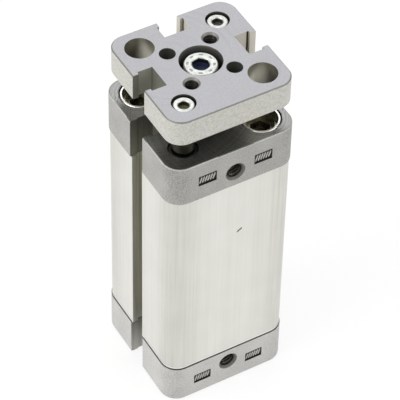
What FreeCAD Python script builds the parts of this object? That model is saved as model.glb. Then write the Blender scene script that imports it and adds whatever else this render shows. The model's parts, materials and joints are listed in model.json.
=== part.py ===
import FreeCAD, Part
import Sketcher
import math
import os

# Compact double-acting cylinder with a yoke plate and two guide rods.
# Frame: +Z along the piston rod, origin at the centre of the rear mounting face,
# ports on the -Y side, rod retracted. Millimetres.

doc = FreeCAD.newDocument("guided_cylinder")
sheet = doc.addObject("Spreadsheet::Sheet", "dims")

SIZES = {
    # bore, travel and rods
    "bore": 20,
    "stroke": 50,
    "rodDia": 10,
    "guideDia": 6,
    "runningFit": 0.05,
    "seatFit": 0.02,
    # caps, 36 mm square; channelWall puts the screws and guides on a 22 mm square
    "capSide": 35.99993,
    "channelWall": 1.5563,
    "capCorner": 4.8,
    "capLength": 12,
    "capEdge": 0.4,
    "spigotLength": 2,
    "spigotFit": 0.05,
    "ringGroove": 1.2,
    "ringDepth": 1.1,
    "ringSlack": 0.01,
    "spigotRoot": 1,
    # barrel extrusion and the slots on three sides
    "barrelInset": 0.25,
    "barrelCorner": 4.6,
    "boreWall": 1.4,
    "boreLeadIn": 0.3,
    "channelDia": 6.8,
    "channelChamfer": 0.5,
    "slotMouth": 5.2,
    "slotWidth": 7,
    "slotLip": 1.5,
    "capSlotMouth": 6.4,
    "capSlotWidth": 7,
    "capSlotLip": 2.1,
    # ports and marking recesses
    "portCore": 4.2,
    "portMouth": 5.6,
    "portHeight": 7.5,
    "passageDia": 1.8,
    "passageWall": 0.7,
    "rearChamberDia": 9,
    "rearChamberFloor": 5,
    "rearPortReach": 1,
    "markWidth": 5.1,
    "markHeight": 3.2,
    "markDepth": 0.35,
    "markSpread": 7.9,
    "markInset": 5.9,
    # collar screws
    "collarHeadDia": 10,
    "collarHead": 5,
    "collarSunk": 0.15,
    "collarRim": 0.55,
    "collarCup": 2.2,
    "collarStepDia": 7.2,
    "collarStep": 1.4,
    "collarKey": 5,
    "collarKeyDepth": 2.4,
    "collarCore": 4.2,
    "collarThread": 8,
    "collarReach": 8,
    "collarRoom": 0.3,
    "collarChamfer": 0.5,
    "collarEdge": 0.15,
    "collarHoleRoom": 0.2,
    # bearings and seals in the bearing cap
    "bushWall": 1,
    "sealWall": 2,
    "sealDepth": 3.5,
    "sealLip": 0.5,
    "guideHoleDia": 7.7,
    "guideFloor": 1,
    "wiperHeight": 1.6,
    "wiperSunk": 0.7,
    "guideSpare": 2,
    "sleeveEdge": 0.3,
    "lipRoot": 0.8,
    "lipTip": 0.3,
    "wiperLip": 0.3,
    "bushSunk": 0.5,
    "sealSunk": 0.2,
    # piston
    "pistonLength": 8,
    "pistonFit": 0.15,
    "endGap": 0.5,
    "edgeLand": 0.9,
    "sealGroove": 1.5,
    "midLand": 0.7,
    "grooveDepth": 1.6,
    "bufferWidth": 2,
    "bufferDepth": 1,
    "bufferProud": 0.3,
    "bufferLand": 1,
    "pistonEdge": 0.3,
    "groovePlay": 0.05,
    "magnetSunk": 0.1,
    "sealEdge": 0.3,
    "sealEdgeRise": 0.4,
    "stubDia": 7,
    "stubLength": 1.5,
    "pistonScrewDia": 4,
    "pistonHeadDia": 7,
    "pistonHead": 2.8,
    "pistonKey": 3,
    "pistonKeyDepth": 2,
    "pistonMouth": 3.7,
    "pistonHeadRoom": 0.2,
    "pistonScrewRoom": 0.05,
    "pistonScrewLength": 12,
    # yoke plate
    "plateInset": 0.7,
    "plateCorner": 4.5,
    "plateThick": 7.7,
    "plateGap": 7.4,
    "plateEdge": 0.3,
    "notchMouth": 5.9,
    "notchWidth": 7.4,
    "notchLip": 1.7,
    "notchFloor": 11.5,
    "accessDia": 7.5,
    "smallPitch": 17,
    "tapDia": 3.3,
    "tapMouth": 4.4,
    "dowelDia": 4.2,
    # socket cap screws through the plate
    "rodScrewDia": 5,
    "rodScrewHeadDia": 8.5,
    "rodScrewHead": 5,
    "rodScrewSunk": 1.1,
    "rodScrewLength": 14,
    "rodScrewKey": 4,
    "rodScrewKeyDepth": 2.6,
    "rodScrewMouth": 4.8,
    "rodScrewRoom": 0.15,
    "rodScrewTurn": 13.6,
    "rodSeatDia": 11,
    "guideScrewDia": 3,
    "guideScrewHeadDia": 5.4,
    "guideScrewHead": 3,
    "guideScrewSunk": 0.6,
    "guideScrewLength": 10,
    "guideScrewKey": 2.5,
    "guideScrewKeyDepth": 1.6,
    "guideScrewMouth": 3.3,
    "guideScrewRoom": 0.1,
    "guideScrewTurn": 8,
    "guideSeatDia": 6.2,
    "guideSocket": 1.7,
    "headChamfer": 0.25,
    "keyMouth": 0.3,
    "tipChamfer": 0.4,
    "rodChamfer": 0.5,
    "threadRoom": 2,
    "drillPoint": 1,
}

# What follows from the sizes above.
DERIVED = {
    "barrelLength": "stroke + pistonLength + 2 * spigotLength + 2 * endGap",
    "barrelTop": "capLength + barrelLength",
    "bodyLength": "barrelTop + capLength",
    "plateLow": "bodyLength + plateGap",
    "plateTop": "plateLow + plateThick",
    "pistonLow": "capLength + spigotLength + endGap",
    "pistonTop": "pistonLow + pistonLength",
    "corner": "(bore / 2 + channelWall + collarThread / 2) * sqrt(0.5)",
    "smallCorner": "smallPitch / 2 * sqrt(0.5)",
    "slotFloor": "bore / 2 + boreWall",
    "bushDia": "rodDia + 2 * bushWall",
    "sealDia": "rodDia + 2 * sealWall",
    "passagePlace": "bushDia / 2 + passageWall + passageDia / 2",
    "collarSeat": "collarHead + collarSunk",
    "collarCupDia": "collarHeadDia - 2 * collarRim",
    "collarLength": "capLength + collarReach",
    "guideLow": "capLength + collarReach + guideSpare",
    "grooveFloor": "bore / 2 - grooveDepth",
    "magnetGroove": "pistonLength - 2 * (edgeLand + sealGroove + midLand)",
    "bufferOuter": "grooveFloor - bufferLand",
    "rodScrewSeat": "plateTop - rodScrewSunk - rodScrewHead",
    "guideScrewSeat": "plateTop - guideScrewSunk - guideScrewHead",
    "guideTop": "plateLow + guideSocket",
}


# Two points closer than this are at the same place.
SAME_PLACE = 0.001


def fill_sheet():
    """Write the sizes, then the formulas, one row each."""
    rows = [(name, str(value)) for name, value in SIZES.items()]
    rows += [(name, "=" + formula) for name, formula in DERIVED.items()]
    for row, (name, content) in enumerate(rows, 1):
        sheet.set("A%d" % row, name)
        sheet.set("B%d" % row, content)
        sheet.setAlias("B%d" % row, name)
    doc.recompute()


def size(formula):
    """Put the sheet's name before each size that a formula uses."""
    names = sorted(list(SIZES) + list(DERIVED), key=len, reverse=True)
    words = []
    word = ""
    for letter in str(formula) + " ":
        if letter.isalnum():
            word += letter
            continue
        words.append("dims." + word if word in names else word)
        words.append(letter)
        word = ""
    return "".join(words).strip()


def value(formula):
    """The number that a formula gives now."""
    result = sheet.evalExpression(size(formula))
    return float(getattr(result, "Value", result))


def new_body(node):
    body = doc.addObject("PartDesign::Body", node)
    body.Label = node
    return body


def origin_part(body, role):
    return next(part for part in body.Origin.OriginFeatures if part.Role == role)


def new_sketch(body, role, x="0", y="0", z="0"):
    """A sketch on one of the body's origin planes, moved within and off that plane."""
    sketch = body.newObject("Sketcher::SketchObject", body.Name + "_sketch")
    sketch.AttachmentSupport = [(origin_part(body, role), "")]
    sketch.MapMode = "FlatFace"
    for axis, formula in (("x", x), ("y", y), ("z", z)):
        sketch.setExpression(".AttachmentOffset.Base." + axis, size(formula))
    return sketch


def pin_point(sketch, geometry, point, x, y):
    """Hold a point of the sketch at a place given by two formulas."""
    for kind, formula in (("DistanceX", x), ("DistanceY", y)):
        rule = Sketcher.Constraint(kind, -1, 1, geometry, point, value(formula))
        index = sketch.addConstraint(rule)
        sketch.setExpression("Constraints[%d]" % index, size(formula))


def draw_polygon(sketch, points):
    places = [FreeCAD.Vector(value(x), value(y), 0) for x, y in points]
    first = sketch.GeometryCount
    count = len(points)
    for index in range(count):
        line = Part.LineSegment(places[index], places[(index + 1) % count])
        sketch.addGeometry(line, False)
    for index, (x, y) in enumerate(points):
        following = first + (index + 1) % count
        sketch.addConstraint(Sketcher.Constraint("Coincident", first + index, 2, following, 1))
        pin_point(sketch, first + index, 1, x, y)


def draw_circle(sketch, x, y, radius):
    centre = FreeCAD.Vector(value(x), value(y), 0)
    circle = Part.Circle(centre, FreeCAD.Vector(0, 0, 1), value(radius))
    index = sketch.addGeometry(circle, False)
    pin_point(sketch, index, 3, x, y)
    rule = sketch.addConstraint(Sketcher.Constraint("Radius", index, value(radius)))
    sketch.setExpression("Constraints[%d]" % rule, size(radius))


def extrude(body, kind, sketch, length, upwards=True):
    """Pad or pocket a sketch; upwards means along the sketch's normal."""
    feature = body.newObject("PartDesign::" + kind, body.Name + "_" + kind.lower())
    feature.Profile = sketch
    feature.setExpression("Length", size(length))
    feature.Reversed = upwards == (kind == "Pocket")
    body.Tip = feature
    doc.recompute()
    return feature


def pad_square(body, half, low, length):
    sketch = new_sketch(body, "XY_Plane", z=low)
    other = "-" + half
    draw_polygon(sketch, [(other, other), (half, other), (half, half), (other, half)])
    return extrude(body, "Pad", sketch, length)


def turned(body, kind, profile, x="0", y="0"):
    """Revolve a (radius, height) outline about an upright axis at x, y."""
    sketch = new_sketch(body, "XZ_Plane", x=x, z="-(%s)" % y)
    draw_polygon(sketch, profile)
    return spin(body, kind, sketch)


def spin(body, kind, sketch):
    feature = body.newObject("PartDesign::" + kind, body.Name + "_" + kind.lower())
    feature.Profile = sketch
    feature.ReferenceAxis = (sketch, ["V_Axis"])
    feature.Angle = 360
    body.Tip = feature
    doc.recompute()
    return feature


def repeat(body, feature, angle, count):
    """Copy a feature round the cylinder's axis."""
    pattern = body.newObject("PartDesign::PolarPattern", body.Name + "_repeat")
    pattern.Originals = [feature]
    pattern.Axis = (origin_part(body, "Z_Axis"), [""])
    pattern.Angle = angle
    pattern.Occurrences = count
    body.Tip = pattern
    doc.recompute()
    return pattern


def is_upright(edge):
    ends = [vertex.Point for vertex in edge.Vertexes]
    return len(ends) == 2 and math.hypot(ends[0].x - ends[1].x, ends[0].y - ends[1].y) < SAME_PLACE


def is_level(edge, height):
    box = edge.BoundBox
    return abs(box.ZMin - height) < SAME_PLACE and abs(box.ZMax - height) < SAME_PLACE


def dress(body, kind, chosen, amount):
    """Fillet or chamfer the edges of the body's last feature that a test chooses."""
    base = body.Tip
    names = ["Edge%d" % (i + 1) for i, edge in enumerate(base.Shape.Edges) if chosen(edge)]
    feature = body.newObject("PartDesign::" + kind, body.Name + "_" + kind.lower())
    feature.Base = (base, names)
    feature.setExpression("Radius" if kind == "Fillet" else "Size", size(amount))
    body.Tip = feature
    doc.recompute()
    return feature


def cut_slots(body, half, mouth, width, lip, floor, low, length):
    """A T-shaped slot in the +X side, repeated on the +Y and -X sides."""
    sketch = new_sketch(body, "XY_Plane", z=low)
    neck = "%s - %s" % (half, lip)
    outside = "%s + 1" % half
    upper = [(outside, mouth + " / 2"), (neck, mouth + " / 2"),
             (neck, width + " / 2"), (floor, width + " / 2")]
    lower = [(x, "-" + y) for x, y in reversed(upper)]
    draw_polygon(sketch, upper + lower)
    slot = extrude(body, "Pocket", sketch, length)
    return repeat(body, slot, 180, 3)


def hexagon(body, key, turn, x, y, high, depth, downwards=True):
    """Cut a key socket, its size across flats."""
    sketch = new_sketch(body, "XY_Plane", x=x, y=y, z=high)
    points = []
    for step in range(6):
        angle = "((%s + %d) * 1 deg)" % (turn, 60 * step)
        reach = "%s / sqrt(3)" % key
        points.append(("%s * cos%s" % (reach, angle), "%s * sin%s" % (reach, angle)))
    draw_polygon(sketch, points)
    return extrude(body, "Pocket", sketch, depth, upwards=not downwards)


# The two diagonals of the square grid: guides stand on one, collar screws on the other.
GUIDE_PLACES = {"left": ("-corner", "-corner"), "right": ("corner", "corner")}
COLLAR_PLACES = {"left": ("-corner", "corner"), "right": ("corner", "-corner")}


def make_barrel():
    body = new_body("barrel")
    half = "(capSide / 2 - barrelInset)"
    pad_square(body, half, "capLength", "barrelLength")
    dress(body, "Fillet", is_upright, "barrelCorner")
    cut_slots(body, half, "slotMouth", "slotWidth", "slotLip", "slotFloor",
              "capLength", "barrelLength")
    # The bore has a lead-in chamfer at each end for the seals.
    turned(body, "Groove", [
        ("0", "capLength"), ("bore / 2 + boreLeadIn", "capLength"),
        ("bore / 2", "capLength + boreLeadIn"), ("bore / 2", "barrelTop - boreLeadIn"),
        ("bore / 2 + boreLeadIn", "barrelTop"), ("0", "barrelTop")])
    # Each corner channel is threaded at the rear end for a collar screw.
    channel = turned(body, "Groove", [
        ("0", "capLength"), ("collarThread / 2", "capLength"),
        ("collarThread / 2", "capLength + collarReach"),
        ("channelDia / 2", "capLength + collarReach + channelChamfer"),
        ("channelDia / 2", "barrelTop"), ("0", "barrelTop")], "corner", "corner")
    repeat(body, channel, 360, 4)
    # The two channels without guide rods are threaded at the front end as well.
    thread = turned(body, "Groove", [
        ("0", "barrelTop - collarReach - channelChamfer"),
        ("channelDia / 2", "barrelTop - collarReach - channelChamfer"),
        ("collarThread / 2", "barrelTop - collarReach"),
        ("collarThread / 2", "barrelTop"), ("0", "barrelTop")], *COLLAR_PLACES["right"])
    repeat(body, thread, 180, 2)


def cap_block(node, low, outer, inward):
    """The casting that both caps share: block, spigot, slots, port and marking recesses.

    low is the block's underside, outer the height of its free face, and inward is
    the sign that leads from that face towards the barrel.
    """
    body = new_body(node)
    pad_square(body, "(capSide / 2)", low, "capLength")
    dress(body, "Fillet", is_upright, "capCorner")
    dress(body, "Fillet", lambda edge: is_level(edge, value(outer)), "capEdge")
    cut_slots(body, "(capSide / 2)", "capSlotMouth", "capSlotWidth", "capSlotLip",
              "slotFloor", low, "capLength")

    def level(depth):
        return "%s %s (%s)" % (outer, inward, depth)

    # The spigot centres the cap in the bore; its groove holds the static ring.
    tip = level("capLength + spigotLength")
    radius = "bore / 2 - spigotFit"
    middle = "capLength + spigotLength / 2"
    turned(body, "Revolution", [
        ("0", level("capLength - spigotRoot")), (radius, level("capLength - spigotRoot")),
        (radius, level(middle + " - ringGroove / 2")),
        (radius + " - ringDepth", level(middle + " - ringGroove / 2")),
        (radius + " - ringDepth", level(middle + " + ringGroove / 2")),
        (radius, level(middle + " + ringGroove / 2")),
        (radius, tip), ("0", tip)])

    # Shallow recesses for a port marking, one each side of the port.
    for side in ("-", ""):
        sketch = new_sketch(body, "XZ_Plane", z="capSide / 2")
        x = side + "markSpread"
        z = level("markInset")
        draw_polygon(sketch, [
            (x + " - markWidth / 2", z + " - markHeight / 2"),
            (x + " + markWidth / 2", z + " - markHeight / 2"),
            (x + " + markWidth / 2", z + " + markHeight / 2"),
            (x + " - markWidth / 2", z + " + markHeight / 2")])
        extrude(body, "Pocket", sketch, "markDepth", upwards=False)
    return body, level


def drill_port(body, height, reach):
    """A countersunk threaded port from the -Y side, ending at y = -reach."""
    sketch = new_sketch(body, "XY_Plane", z=height)
    face = "-capSide / 2"
    sink = "(portMouth - portCore) / 2"
    draw_polygon(sketch, [
        ("0", face), ("portMouth / 2", face), ("portCore / 2", face + " + " + sink),
        ("portCore / 2", "-(%s)" % reach), ("0", "-(%s)" % reach)])
    return spin(body, "Groove", sketch)


def make_bearing_cap():
    body, level = cap_block("bearing_cap", "barrelTop", "bodyLength", "-")
    bottom = level("capLength + spigotLength")
    # Stepped bore: seal recess above, then the bush.
    turned(body, "Groove", [
        ("0", "bodyLength"), ("sealDia / 2", "bodyLength"), ("sealDia / 2", level("sealDepth")),
        ("bushDia / 2", level("sealDepth")), ("bushDia / 2", bottom), ("0", bottom)])
    seat = turned(body, "Groove", [
        ("0", "bodyLength"), ("collarHeadDia / 2 + collarRoom", "bodyLength"),
        ("collarHeadDia / 2 + collarRoom", level("collarSeat")),
        ("collarThread / 2 + collarHoleRoom", level("collarSeat")),
        ("collarThread / 2 + collarHoleRoom", "barrelTop"), ("0", "barrelTop")], *COLLAR_PLACES["right"])
    repeat(body, seat, 180, 2)
    # The guide bushes rest on a floor above the barrel's channels.
    floor = "barrelTop + guideFloor"
    guide = turned(body, "Groove", [
        ("0", "bodyLength"), ("guideHoleDia / 2", "bodyLength"), ("guideHoleDia / 2", floor),
        ("channelDia / 2", floor), ("channelDia / 2", "barrelTop"), ("0", "barrelTop")],
        *GUIDE_PLACES["right"])
    repeat(body, guide, 180, 2)
    height = level("portHeight")
    drill_port(body, height, "passagePlace - passageDia / 2")
    # The air passage runs from the port down through the spigot.
    turned(body, "Groove", [
        ("0", height), ("passageDia / 2", height), ("passageDia / 2", bottom), ("0", bottom)],
        "0", "-passagePlace")


def make_end_cap():
    body, level = cap_block("end_cap", "0", "0", "+")
    top = level("capLength + spigotLength")
    turned(body, "Groove", [
        ("0", "rearChamberFloor"), ("rearChamberDia / 2", "rearChamberFloor"),
        ("rearChamberDia / 2", top), ("0", top)])
    seat = turned(body, "Groove", [
        ("0", "0"), ("collarHeadDia / 2 + collarRoom", "0"),
        ("collarHeadDia / 2 + collarRoom", "collarSeat"),
        ("collarThread / 2 + collarHoleRoom", "collarSeat"),
        ("collarThread / 2 + collarHoleRoom", "capLength"), ("0", "capLength")], "corner", "corner")
    repeat(body, seat, 360, 4)
    drill_port(body, "portHeight", "rearChamberDia / 2 - rearPortReach")


def make_collar_screw(node, place, outer, inward):
    """A hollow flanged screw: cup, step, key socket and an internal thread."""
    body = new_body(node)

    def level(depth):
        return "%s %s (collarSunk + %s)" % (outer, inward, depth)

    cup = "collarCup + collarStep"
    turned(body, "Revolution", [
        ("collarCore / 2", level("collarLength")),
        ("collarThread / 2 - seatFit - collarChamfer", level("collarLength")),
        ("collarThread / 2 - seatFit", level("collarLength - collarChamfer")),
        ("collarThread / 2 - seatFit", level("collarHead")),
        ("collarHeadDia / 2", level("collarHead")),
        ("collarHeadDia / 2", level("collarEdge")),
        ("collarHeadDia / 2 - collarEdge", level("0")),
        ("collarCupDia / 2", level("0")),
        ("collarCupDia / 2", level("collarCup")),
        ("collarStepDia / 2", level("collarCup")),
        ("collarStepDia / 2", level(cup)),
        ("collarCore / 2", level(cup))], *place)
    hexagon(body, "collarKey", "0", place[0], place[1], level(cup),
            "collarKeyDepth", downwards=inward == "-")


def make_static_ring(node, height):
    body = new_body(node)
    sketch = new_sketch(body, "XZ_Plane")
    draw_circle(sketch, "bore / 2 - spigotFit - ringDepth / 2", height, "ringDepth / 2 - ringSlack")
    spin(body, "Revolution", sketch)


def make_sleeve(node, inner, outer, low, high, x="0", y="0"):
    body = new_body(node)
    turned(body, "Revolution", [
        (inner, low + " + sleeveEdge"), (inner + " + sleeveEdge", low),
        (outer + " - sleeveEdge", low), (outer, low + " + sleeveEdge"),
        (outer, high), (inner, high)], x, y)


def make_lip_ring(node, inner, outer, low, high, lip, x="0", y="0"):
    """A ring whose inner lip stands above its flat outer part."""
    body = new_body(node)
    turned(body, "Revolution", [
        (inner, low), (outer, low), (outer, high), (inner + " + lipRoot", high),
        (inner + " + lipTip", high + " + " + lip), (inner, high + " + " + lip)], x, y)


def make_bearings():
    seal_floor = "bodyLength - sealDepth"
    make_sleeve("rod_bush", "rodDia / 2 + runningFit", "bushDia / 2 - seatFit",
                "barrelTop - spigotLength + bushSunk", seal_floor)
    make_lip_ring("rod_seal", "rodDia / 2 + runningFit", "sealDia / 2 - seatFit",
                  seal_floor, "bodyLength - sealSunk", "sealLip")
    wiper_top = "bodyLength - wiperSunk"
    wiper_low = wiper_top + " - wiperHeight"
    for side, (x, y) in GUIDE_PLACES.items():
        inner = "guideDia / 2 + runningFit"
        outer = "guideHoleDia / 2 - seatFit"
        make_sleeve("guide_bush_" + side, inner, outer, "barrelTop + guideFloor",
                    wiper_low, x, y)
        make_lip_ring("guide_wiper_" + side, inner, outer, wiper_low, wiper_top, "wiperLip",
                      x, y)


def make_piston():
    body = new_body("piston")
    outer = "bore / 2 - pistonFit"
    first = "pistonLow + edgeLand"
    second = first + " + sealGroove + midLand"
    third = second + " + magnetGroove + midLand"
    profile = [("0", "pistonLow"), (outer + " - pistonEdge", "pistonLow"),
               (outer, "pistonLow + pistonEdge")]
    for start, width in ((first, "sealGroove"), (second, "magnetGroove"), (third, "sealGroove")):
        end = start + " + " + width
        profile += [(outer, start), ("grooveFloor", start), ("grooveFloor", end), (outer, end)]
    profile += [(outer, "pistonTop - pistonEdge"), (outer + " - pistonEdge", "pistonTop"),
                ("0", "pistonTop")]
    turned(body, "Revolution", profile)
    # Screw seat from the rear, clearance hole, and the recess that centres the rod.
    screw_seat = "pistonLow + pistonHead + pistonHeadRoom"
    turned(body, "Groove", [
        ("0", "pistonLow"), ("pistonHeadDia / 2 + pistonHeadRoom", "pistonLow"),
        ("pistonHeadDia / 2 + pistonHeadRoom", screw_seat),
        ("pistonScrewDia / 2 + pistonScrewRoom", screw_seat),
        ("pistonScrewDia / 2 + pistonScrewRoom", "pistonTop - stubLength"),
        ("stubDia / 2 + seatFit", "pistonTop - stubLength"),
        ("stubDia / 2 + seatFit", "pistonTop"), ("0", "pistonTop")])
    for low, high in (("pistonLow", "pistonLow + bufferDepth"),
                      ("pistonTop - bufferDepth", "pistonTop")):
        turned(body, "Groove", [
            ("bufferOuter - bufferWidth", low), ("bufferOuter", low),
            ("bufferOuter", high), ("bufferOuter - bufferWidth", high)])

    for node, start in (("piston_seal_rear", first), ("piston_seal_front", third)):
        ring = new_body(node)
        low = start + " + groovePlay"
        high = start + " + sealGroove - groovePlay"
        seal_outer = "bore / 2 - runningFit"
        turned(ring, "Revolution", [
            ("grooveFloor + seatFit", low), (seal_outer + " - sealEdge", low),
            (seal_outer, low + " + sealEdgeRise"), (seal_outer, high + " - sealEdgeRise"),
            (seal_outer + " - sealEdge", high), ("grooveFloor + seatFit", high)])
    magnet = new_body("magnet_ring")
    turned(magnet, "Revolution", [
        ("grooveFloor + seatFit", second + " + groovePlay"),
        (outer + " - magnetSunk", second + " + groovePlay"),
        (outer + " - magnetSunk", second + " + magnetGroove - groovePlay"),
        ("grooveFloor + seatFit", second + " + magnetGroove - groovePlay")])
    inner_edge = "bufferOuter - bufferWidth + seatFit"
    outer_edge = "bufferOuter - seatFit"
    for node, root, tip in (
            ("rear_buffer", "pistonLow + bufferDepth", "pistonLow - bufferProud"),
            ("front_buffer", "pistonTop - bufferDepth", "pistonTop + bufferProud")):
        ring = new_body(node)
        turned(ring, "Revolution", [
            (inner_edge, root), (outer_edge, root), (outer_edge, tip), (inner_edge, tip)])


def make_cap_screw(node, x, y, dia, head_dia, head, seat, length, key, turn, key_depth, mouth,
                   upwards=True):
    """A socket cap screw whose head stands on seat and whose thread runs the other way."""
    body = new_body(node)
    out = "+" if upwards else "-"
    back = "-" if upwards else "+"
    top = "%s %s %s" % (seat, out, head)
    tip = "%s %s %s" % (seat, back, length)
    radius = "%s / 2" % dia
    head_radius = "%s / 2" % head_dia
    turned(body, "Revolution", [
        ("0", tip), (radius + " - tipChamfer", tip), (radius, "%s %s tipChamfer" % (tip, out)),
        (radius, seat), (head_radius, seat), (head_radius, "%s %s headChamfer" % (top, back)),
        (head_radius + " - headChamfer", top), ("0", top)], x, y)
    hexagon(body, key, turn, x, y, top, key_depth, downwards=upwards)
    # The socket opens out in a small cone.
    sunk = "%s %s keyMouth" % (top, back)
    turned(body, "Groove", [
        ("0", top), ("%s / 2" % mouth, top), ("%s / 2 - keyMouth" % mouth, sunk),
        ("0", sunk)], x, y)


def make_rods():
    rod = new_body("piston_rod")
    turned(rod, "Revolution", [
        ("0", "pistonTop - stubLength"), ("stubDia / 2", "pistonTop - stubLength"),
        ("stubDia / 2", "pistonTop"), ("rodDia / 2", "pistonTop"),
        ("rodDia / 2", "plateLow - rodChamfer"), ("rodDia / 2 - rodChamfer", "plateLow"),
        ("0", "plateLow")])
    # Threaded for the rod screw above and the piston screw below.
    upper_floor = "rodScrewSeat - rodScrewLength - threadRoom"
    turned(rod, "Groove", [
        ("0", "plateLow"), ("rodScrewDia / 2 + seatFit", "plateLow"),
        ("rodScrewDia / 2 + seatFit", upper_floor), ("0", upper_floor + " - drillPoint")])
    screw_seat = "pistonLow + pistonHead + pistonHeadRoom"
    lower_top = screw_seat + " + pistonScrewLength + threadRoom"
    turned(rod, "Groove", [
        ("0", "pistonTop - stubLength"),
        ("pistonScrewDia / 2 + seatFit", "pistonTop - stubLength"),
        ("pistonScrewDia / 2 + seatFit", lower_top), ("0", lower_top + " + drillPoint")])
    make_cap_screw("piston_screw", "0", "0", "pistonScrewDia", "pistonHeadDia", "pistonHead",
                   screw_seat, "pistonScrewLength", "pistonKey", "0", "pistonKeyDepth", "pistonMouth",
                   upwards=False)
    make_cap_screw("rod_screw", "0", "0", "rodScrewDia", "rodScrewHeadDia", "rodScrewHead",
                   "rodScrewSeat", "rodScrewLength", "rodScrewKey", "rodScrewTurn", "rodScrewKeyDepth",
                   "rodScrewMouth")
    for side, (x, y) in GUIDE_PLACES.items():
        guide = new_body("guide_rod_" + side)
        radius = "guideDia / 2"
        turned(guide, "Revolution", [
            ("0", "guideLow"), (radius + " - rodChamfer", "guideLow"),
            (radius, "guideLow + rodChamfer"), (radius, "guideTop - rodChamfer"),
            (radius + " - rodChamfer", "guideTop"), ("0", "guideTop")], x, y)
        floor = "guideScrewSeat - guideScrewLength - threadRoom"
        turned(guide, "Groove", [
            ("0", "guideTop"), ("guideScrewDia / 2 + seatFit", "guideTop"),
            ("guideScrewDia / 2 + seatFit", floor), ("0", floor + " - drillPoint")], x, y)
        make_cap_screw("guide_screw_" + side, x, y, "guideScrewDia", "guideScrewHeadDia",
                       "guideScrewHead", "guideScrewSeat", "guideScrewLength",
                       "guideScrewKey", "guideScrewTurn", "guideScrewKeyDepth",
                       "guideScrewMouth")


def make_plate():
    body = new_body("yoke_plate")
    half = "(capSide / 2 - plateInset)"
    pad_square(body, half, "plateLow", "plateThick")
    dress(body, "Fillet", is_upright, "plateCorner")
    dress(body, "Chamfer", lambda edge: not is_upright(edge), "plateEdge")
    cut_slots(body, half, "notchMouth", "notchWidth", "notchLip", "notchFloor",
              "plateLow", "plateThick")
    # Centre: deep counterbore for the rod screw.
    turned(body, "Groove", [
        ("0", "plateTop"), ("rodSeatDia / 2", "plateTop"), ("rodSeatDia / 2", "rodScrewSeat"),
        ("rodScrewDia / 2 + rodScrewRoom", "rodScrewSeat"),
        ("rodScrewDia / 2 + rodScrewRoom", "plateLow"),
        ("0", "plateLow")])
    # Guide diagonal: screw seat above, rod socket below.
    seat = turned(body, "Groove", [
        ("0", "plateTop"), ("guideSeatDia / 2", "plateTop"),
        ("guideSeatDia / 2", "guideScrewSeat"),
        ("guideScrewDia / 2 + guideScrewRoom", "guideScrewSeat"),
        ("guideScrewDia / 2 + guideScrewRoom", "guideTop"),
        ("guideDia / 2 + seatFit", "guideTop"), ("guideDia / 2 + seatFit", "plateLow"),
        ("0", "plateLow")], *GUIDE_PLACES["right"])
    repeat(body, seat, 180, 2)
    # Collar diagonal: key access to the front collar screws.
    access = turned(body, "Groove", [
        ("0", "plateTop"), ("accessDia / 2", "plateTop"), ("accessDia / 2", "plateLow"),
        ("0", "plateLow")], *COLLAR_PLACES["right"])
    repeat(body, access, 180, 2)
    # Four small holes for the load: two threaded, two plain.
    sink = "(tapMouth - tapDia) / 2"
    tap = turned(body, "Groove", [
        ("0", "plateTop"), ("tapMouth / 2", "plateTop"), ("tapDia / 2", "plateTop - " + sink),
        ("tapDia / 2", "plateLow"), ("0", "plateLow")], "smallCorner", "smallCorner")
    repeat(body, tap, 180, 2)
    plain = turned(body, "Groove", [
        ("0", "plateTop"), ("dowelDia / 2", "plateTop"), ("dowelDia / 2", "plateLow"),
        ("0", "plateLow")], "smallCorner", "-smallCorner")
    repeat(body, plain, 180, 2)


def make_all():
    make_barrel()
    make_bearing_cap()
    make_end_cap()
    for side, place in COLLAR_PLACES.items():
        make_collar_screw("front_collar_screw_" + side, place, "bodyLength", "-")
    for name, place in GUIDE_PLACES.items():
        make_collar_screw("rear_collar_screw_guide_" + name, place, "0", "+")
    for name, place in COLLAR_PLACES.items():
        make_collar_screw("rear_collar_screw_tie_" + name, place, "0", "+")
    make_static_ring("front_static_ring", "barrelTop - spigotLength / 2")
    make_static_ring("rear_static_ring", "capLength + spigotLength / 2")
    make_bearings()
    make_piston()
    make_rods()
    make_plate()


def check_and_write():
    """Stop on any failed object or bad shape, then write one file per body."""
    doc.recompute()
    for item in doc.Objects:
        if "Invalid" in item.State or "Error" in item.State:
            raise RuntimeError("%s failed: %s" % (item.Name, item.State))
    bodies = [item for item in doc.Objects if item.isDerivedFrom("PartDesign::Body")]
    for body in bodies:
        if body.Shape.isNull() or not body.Shape.isValid():
            raise RuntimeError(body.Label + " has no valid shape")
    os.makedirs("parts", exist_ok=True)
    for body in bodies:
        body.Shape.exportStep("parts/%s.step" % body.Label)
        box = body.Shape.BoundBox
        print("%-32s %d solid(s), %9.1f mm3, z %6.2f to %6.2f" % (
            body.Label, len(body.Shape.Solids), body.Shape.Volume, box.ZMin, box.ZMax))


fill_sheet()
make_all()
check_and_write()
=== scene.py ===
import json
import math
import bmesh
import bpy
import numpy as np
from mathutils import Matrix, Vector


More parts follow.
